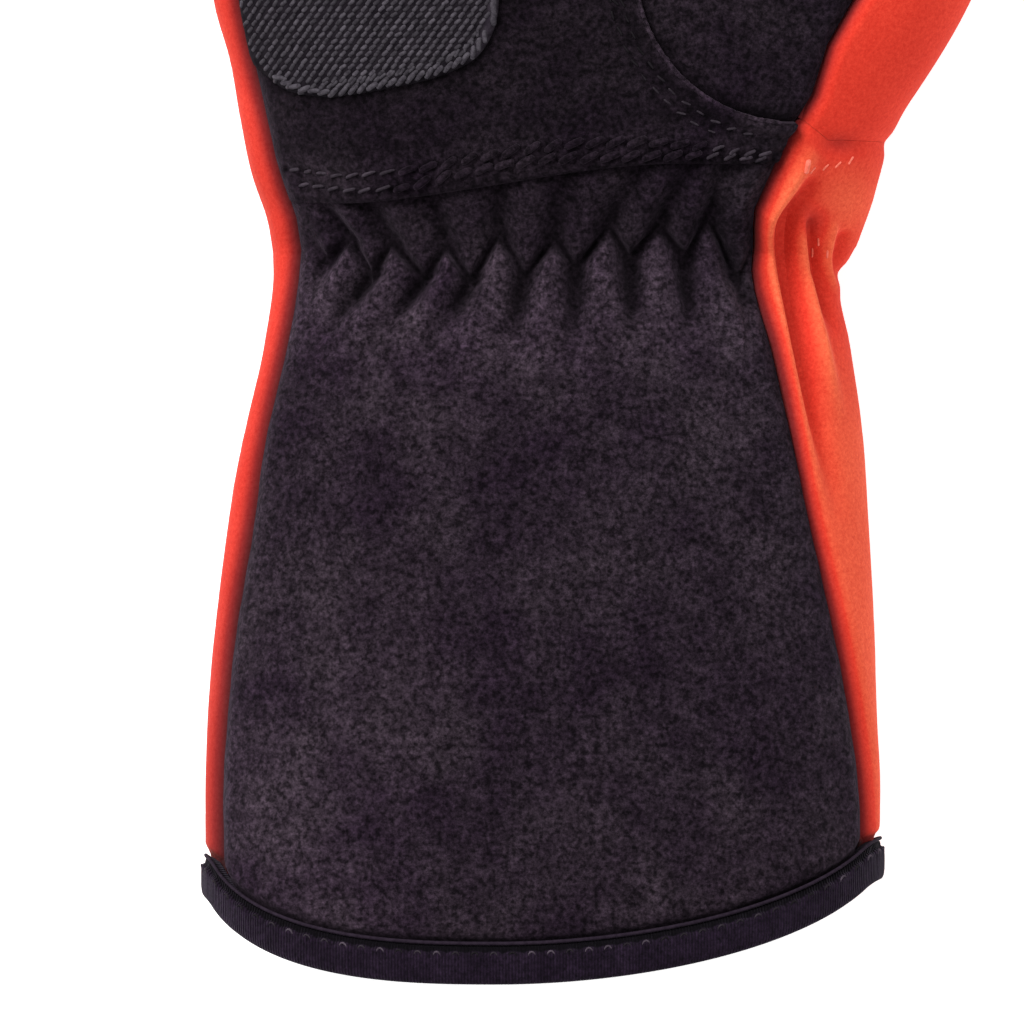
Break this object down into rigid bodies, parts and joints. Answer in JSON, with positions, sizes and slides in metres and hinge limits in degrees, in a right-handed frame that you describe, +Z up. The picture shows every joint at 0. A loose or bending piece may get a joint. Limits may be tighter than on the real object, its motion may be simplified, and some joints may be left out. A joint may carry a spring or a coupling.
{
  "type": "karting glove",
  "caption": "Hollow right-hand karting glove lying palm up: long cuff gathered at the wrist, black suede front, red stretch back, woven grip patch, ribbed hem.",
  "frame": {"origin": "on the surface under the glove, below the middle of the gathered wrist", "axes": "+Y toward the fingertips, +X toward the thumb side, +Z up out of the palm"},
  "size_m": [0.1326, 0.277, 0.0371],
  "materials": {
    "black_suede": "matte microfibre suede with a short nap",
    "red_fabric": "matte stretch fabric with a fine knit surface",
    "woven_grip": "coarse woven grip cloth",
    "ribbed_knit": "fine ribbed knit tape"
  },
  "bodies": {
    "root": {"cuff_front": "black_suede", "palm_panel": "black_suede", "thumb_front": "black_suede", "index_front": "black_suede", "middle_front": "black_suede", "ring_front": "black_suede", "little_front": "black_suede", "back_panel": "red_fabric", "thumb_back": "red_fabric", "index_back": "red_fabric", "middle_back": "red_fabric", "ring_back": "red_fabric", "little_back": "red_fabric", "grip_patch": "woven_grip", "hem_binding": "ribbed_knit", "hem_piping": "ribbed_knit"}
  },
  "joints": []
}
